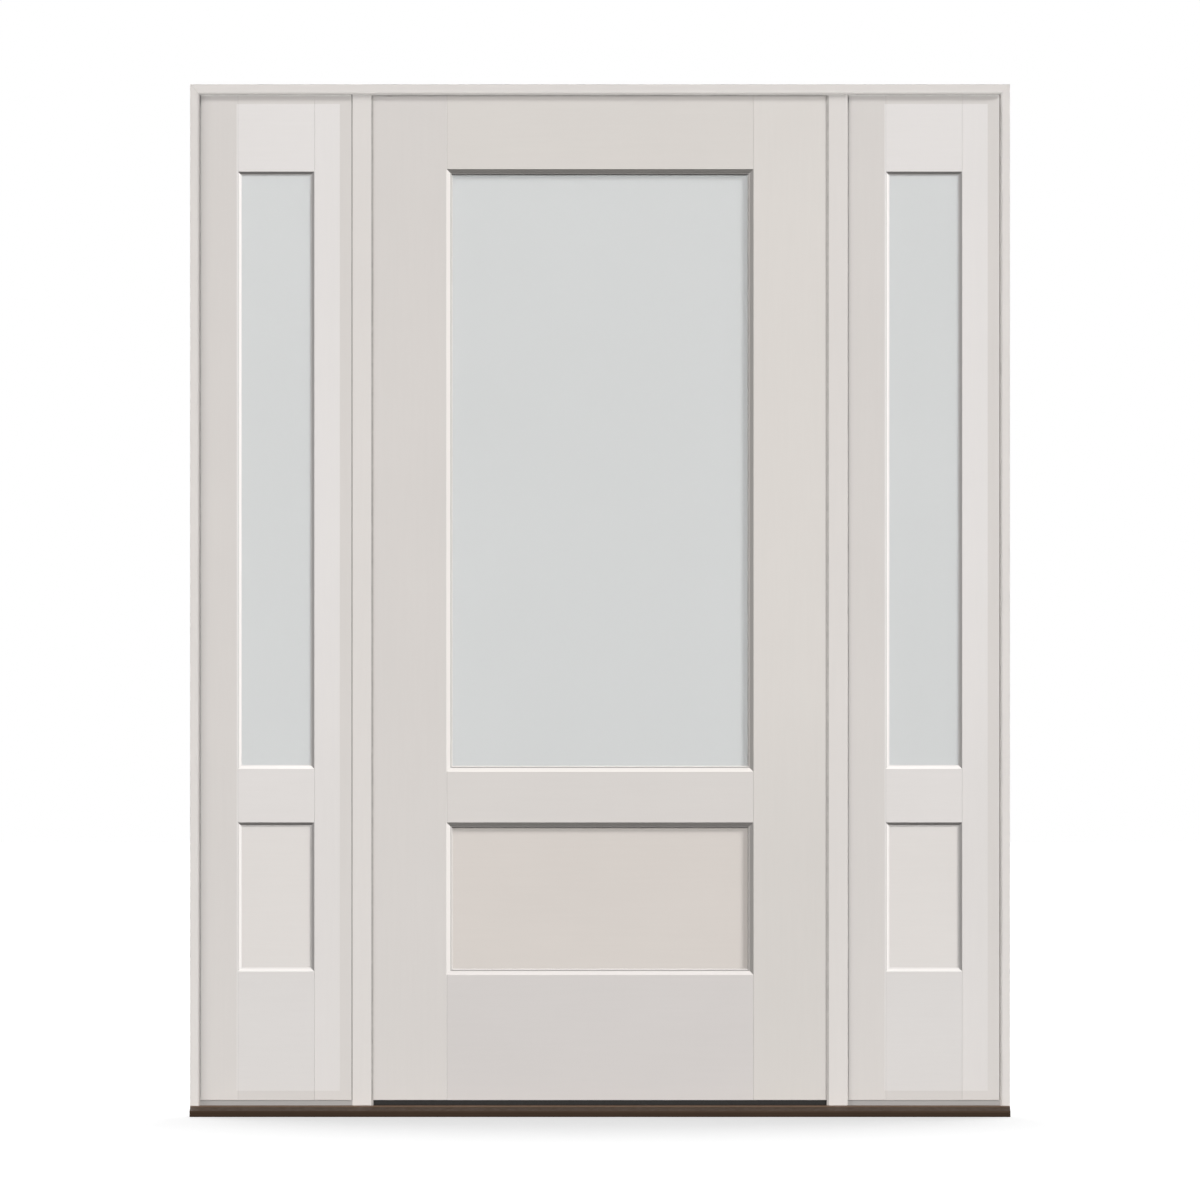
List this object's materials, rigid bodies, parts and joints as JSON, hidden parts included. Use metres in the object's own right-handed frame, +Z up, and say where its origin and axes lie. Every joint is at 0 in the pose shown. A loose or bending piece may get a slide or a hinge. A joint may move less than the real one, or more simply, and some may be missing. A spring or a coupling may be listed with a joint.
{
  "type": "entry door with sidelights",
  "caption": "Painted stile-and-rail entry door, a tall glass over a flat panel, hinged at one side between matching fixed sidelights in a slim frame on a bronze sill.",
  "frame": {"origin": "on the underside of the sill, midway along it, in the plane of the frame's outer face", "axes": "+X to the right seen from outside, +Y into the building, +Z up"},
  "size_m": [1.638, 0.1095, 2.062],
  "materials": {
    "frame_paint": "satin off-white paint",
    "door_paint": "satin off-white paint",
    "sidelight_paint": "satin off-white paint",
    "glass": "frosted",
    "bronze": "dark bronze anodised",
    "core": "plain composite",
    "cap": "dark bronze composite",
    "base": "mill grey",
    "seal": "matt grey",
    "sweep": "matt black",
    "hinge": "satin nickel"
  },
  "bodies": {
    "frame": {"head_jamb": "frame_paint", "hinge_jamb_leaves": "hinge", "hinge_pins": "hinge", "left_jamb": "frame_paint", "left_mull_post": "frame_paint", "left_sidelight_base": "base", "left_sidelight_bottom_rail": "sidelight_paint", "left_sidelight_glass": "glass", "left_sidelight_glass_beads": "sidelight_paint", "left_sidelight_left_stile": "sidelight_paint", "left_sidelight_mid_rail": "sidelight_paint", "left_sidelight_panel": "sidelight_paint", "left_sidelight_panel_beads": "sidelight_paint", "left_sidelight_right_stile": "sidelight_paint", "left_sidelight_seal": "seal", "left_sidelight_top_rail": "sidelight_paint", "right_jamb": "frame_paint", "right_mull_post": "frame_paint", "right_sidelight_base": "base", "right_sidelight_bottom_rail": "sidelight_paint", "right_sidelight_glass": "glass", "right_sidelight_glass_beads": "sidelight_paint", "right_sidelight_left_stile": "sidelight_paint", "right_sidelight_mid_rail": "sidelight_paint", "right_sidelight_panel": "sidelight_paint", "right_sidelight_panel_beads": "sidelight_paint", "right_sidelight_right_stile": "sidelight_paint", "right_sidelight_seal": "seal", "right_sidelight_top_rail": "sidelight_paint", "sill_core": "core", "sill_deck": "bronze", "threshold_cap": "cap", "weatherstrip": "seal"},
    "door": {"door_bottom_rail": "door_paint", "door_glass": "glass", "door_glass_beads": "door_paint", "door_left_stile": "door_paint", "door_mid_rail": "door_paint", "door_panel": "door_paint", "door_panel_beads": "door_paint", "door_right_stile": "door_paint", "door_sweep": "sweep", "door_top_rail": "door_paint", "hinge_door_leaves": "hinge"}
  },
  "joints": [
    {"name": "door_swing", "type": "hinge", "parent": "frame", "child": "door", "pos_m": [-0.466, 0.064, 0], "axis": [0, 0, 1], "range_deg": [0, 110]}
  ]
}
